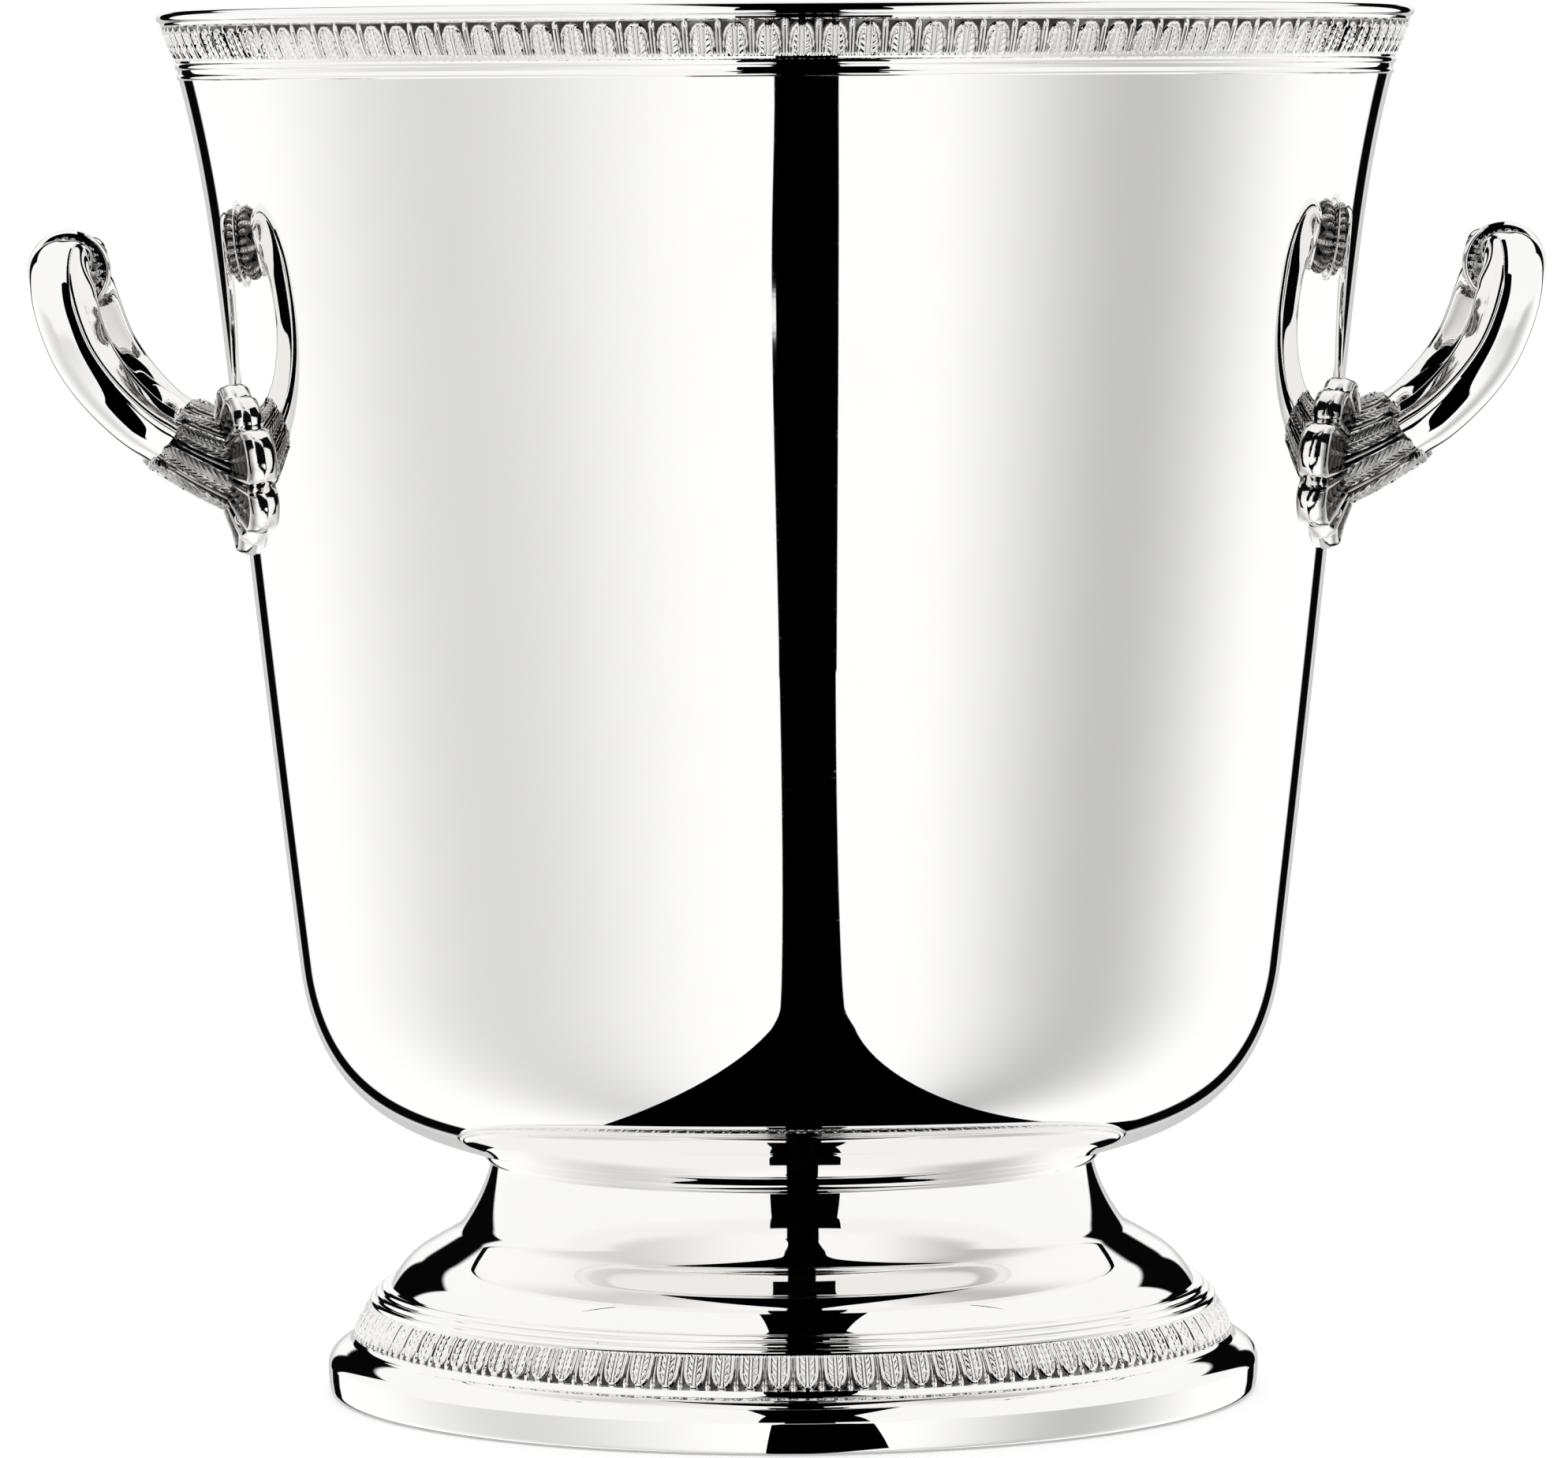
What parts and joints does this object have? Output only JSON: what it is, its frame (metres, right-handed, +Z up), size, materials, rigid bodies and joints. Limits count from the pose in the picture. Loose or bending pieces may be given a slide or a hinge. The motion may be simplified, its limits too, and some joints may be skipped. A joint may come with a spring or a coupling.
{
  "type": "champagne bucket",
  "caption": "Polished silver champagne bucket: flared bowl on a spun pedestal foot, palmette borders at rim and foot, fixed loop handles with leaf mounts.",
  "frame": {"origin": "centre of the foot rest ring, on the surface that the bucket stands on", "axes": "+Z up along the axis of the bucket, +X towards the right handle, +Y to the back"},
  "size_m": [0.258, 0.2132, 0.2352],
  "materials": {
    "polished_silver": "mirror polished silver plate",
    "cast_silver": "polished cast silver plate with darkened recesses"
  },
  "bodies": {
    "root": {"body_shell": "polished_silver", "rim_fillet_ring": "polished_silver", "rim_palmette_band": "cast_silver", "rim_lip": "polished_silver", "foot_joint_ring": "polished_silver", "foot_stem": "polished_silver", "foot_reed_ring": "polished_silver", "foot_palmette_band": "cast_silver", "foot_base": "polished_silver", "right_front_palmette_plate": "cast_silver", "right_front_calyx": "cast_silver", "right_front_arm": "polished_silver", "right_front_leaf_collar": "cast_silver", "right_rear_palmette_plate": "cast_silver", "right_rear_calyx": "cast_silver", "right_rear_arm": "polished_silver", "right_rear_leaf_collar": "cast_silver", "right_grip_bar": "polished_silver", "right_grip_disc": "cast_silver", "left_front_palmette_plate": "cast_silver", "left_front_calyx": "cast_silver", "left_front_arm": "polished_silver", "left_front_leaf_collar": "cast_silver", "left_rear_palmette_plate": "cast_silver", "left_rear_calyx": "cast_silver", "left_rear_arm": "polished_silver", "left_rear_leaf_collar": "cast_silver", "left_grip_bar": "polished_silver", "left_grip_disc": "cast_silver"}
  },
  "joints": []
}
